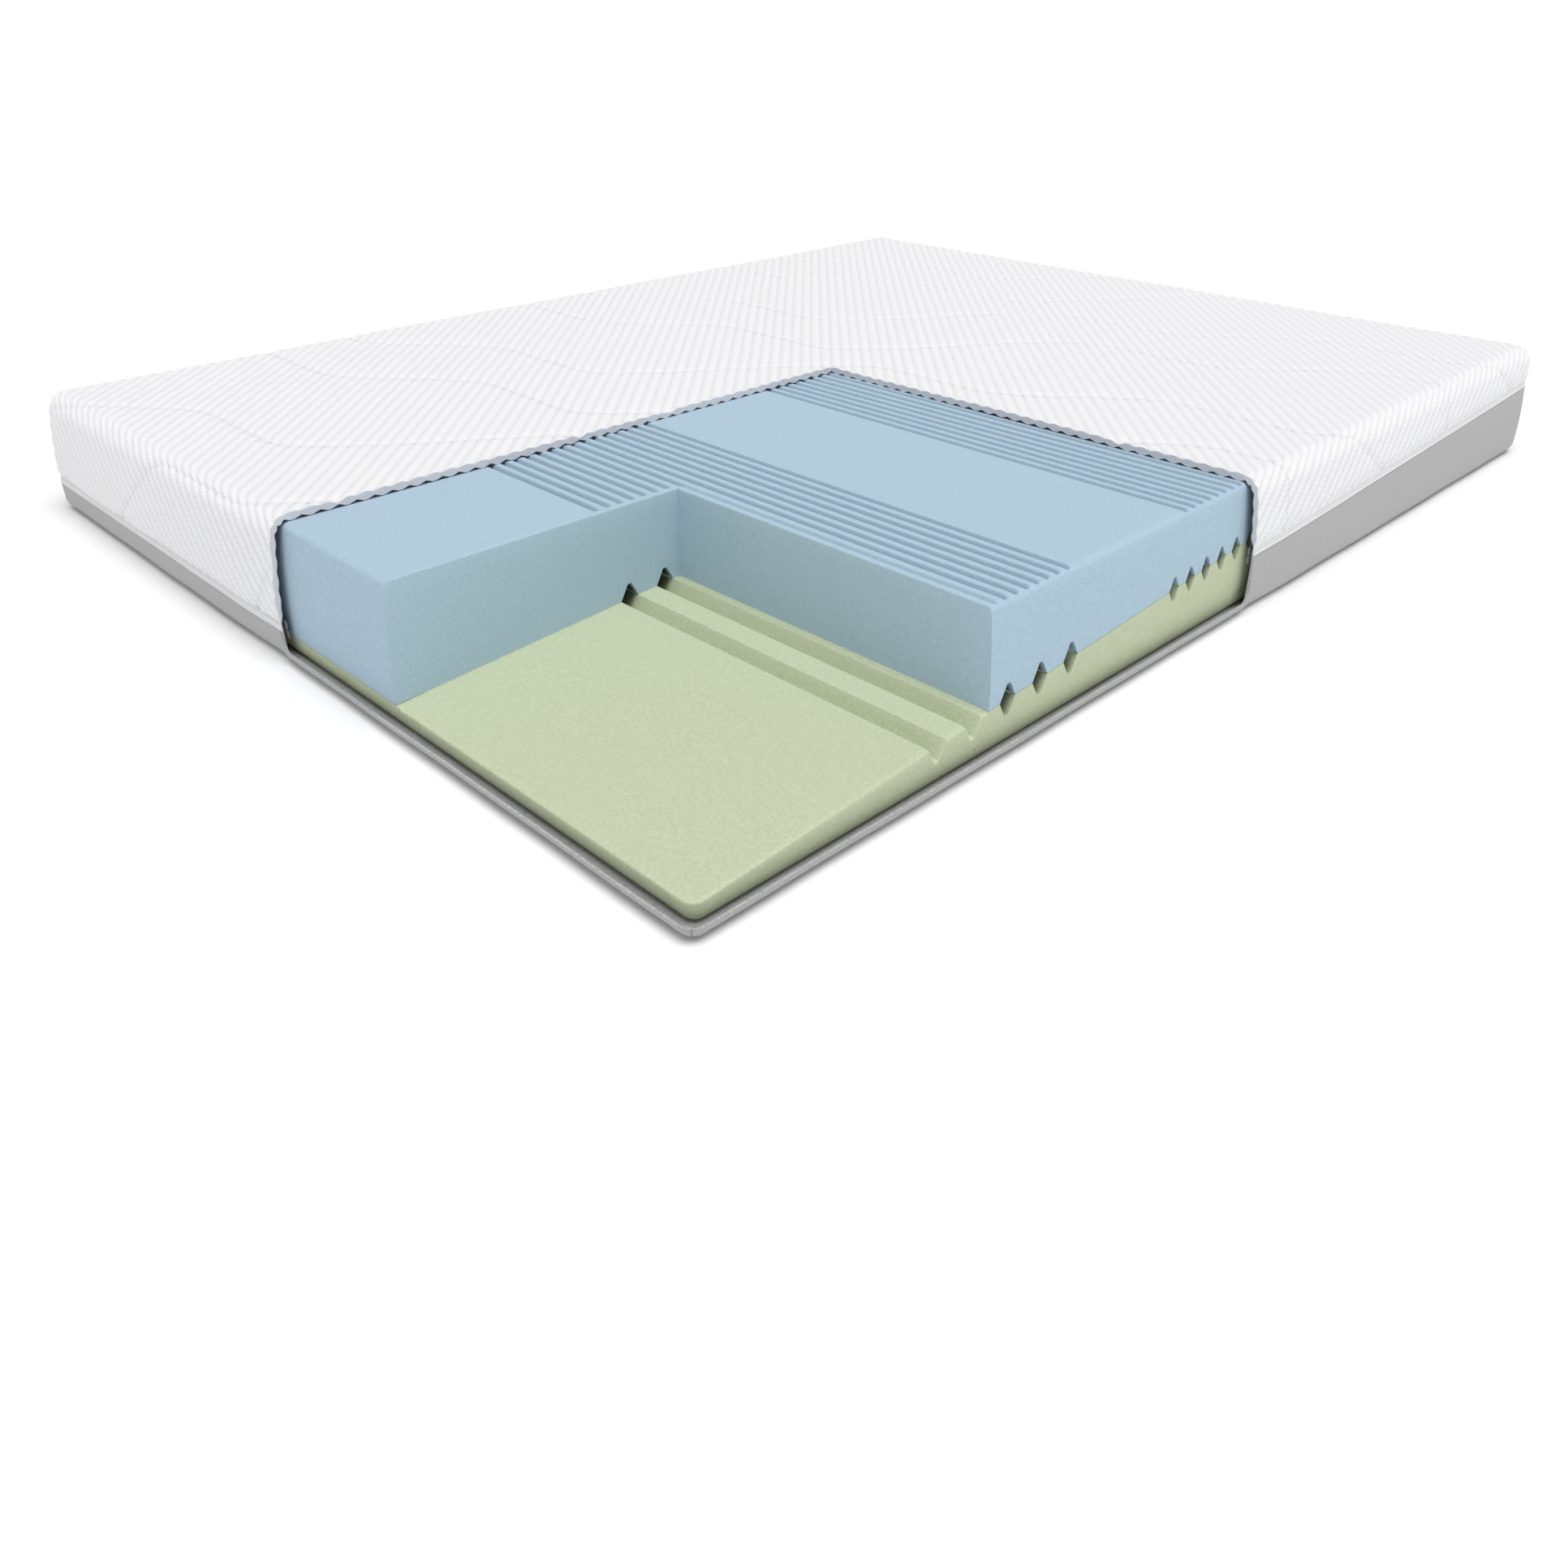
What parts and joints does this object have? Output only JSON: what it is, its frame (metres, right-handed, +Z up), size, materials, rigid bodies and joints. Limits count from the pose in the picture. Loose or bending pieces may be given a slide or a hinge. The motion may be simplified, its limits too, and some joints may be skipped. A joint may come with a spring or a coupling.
{
  "type": "memory foam mattress",
  "caption": "Memory foam mattress, cutaway: white quilted zip-off cover with a quarter removed, grey lower cover, blue memory foam on a green vented foam base.",
  "frame": {"origin": "under the middle of the mattress, on the surface that it lies on", "axes": "+X across the width, +Y along the length towards the head end, +Z up out of the sleeping surface"},
  "size_m": [1.6, 2, 0.2],
  "materials": {
    "cover_knit": "soft white double-jersey knit",
    "wadding": "fibre wadding",
    "backing": "nonwoven backing",
    "thread": "polyester thread",
    "border_fabric": "grey melange knit",
    "zip_tape": "woven tape",
    "zip_coil": "nylon coil",
    "zip_metal": "nickel-plated zinc",
    "memory_foam": "open-cell pale blue memory foam",
    "support_foam": "open-cell pale green support foam",
    "adhesive": "dried adhesive film"
  },
  "bodies": {
    "bottom_cover": {"bottom_panel": "border_fabric", "border_foot": "border_fabric", "border_head": "border_fabric", "border_left": "border_fabric", "border_right": "border_fabric", "lower_zip_tape": "zip_tape", "lower_zip_coil": "zip_coil", "zip_retainer_box": "zip_metal"},
    "core": {"support_foam": "support_foam", "adhesive_film": "adhesive", "memory_foam": "memory_foam"},
    "top_cover": {"top_knit": "cover_knit", "wadding": "wadding", "backing": "backing", "placket": "cover_knit", "placket_stitching": "thread", "upper_zip_tape": "zip_tape", "upper_zip_coil": "zip_coil", "zip_insertion_pin": "zip_metal"},
    "slider": {"zip_slider": "zip_metal", "pull_pin": "zip_metal"},
    "pull": {"zip_pull": "zip_metal"}
  },
  "joints": [
    {"name": "core_lift", "type": "slide", "parent": "bottom_cover", "child": "core", "axis": [0, 0, 1], "range_m": [0, 0.2]},
    {"name": "cover_lift", "type": "slide", "parent": "core", "child": "top_cover", "axis": [0, 0, 1], "range_m": [0, 0.2]},
    {"name": "zip_run", "type": "slide", "parent": "bottom_cover", "child": "slider", "axis": [-1, 0, 0], "range_m": [0, 1.34]},
    {"name": "pull_swing", "type": "hinge", "parent": "slider", "child": "pull", "pos_m": [0.67, 0.9975, 0.1259], "axis": [0, -0.0405, 0.9992], "range_deg": [0, 170]}
  ]
}
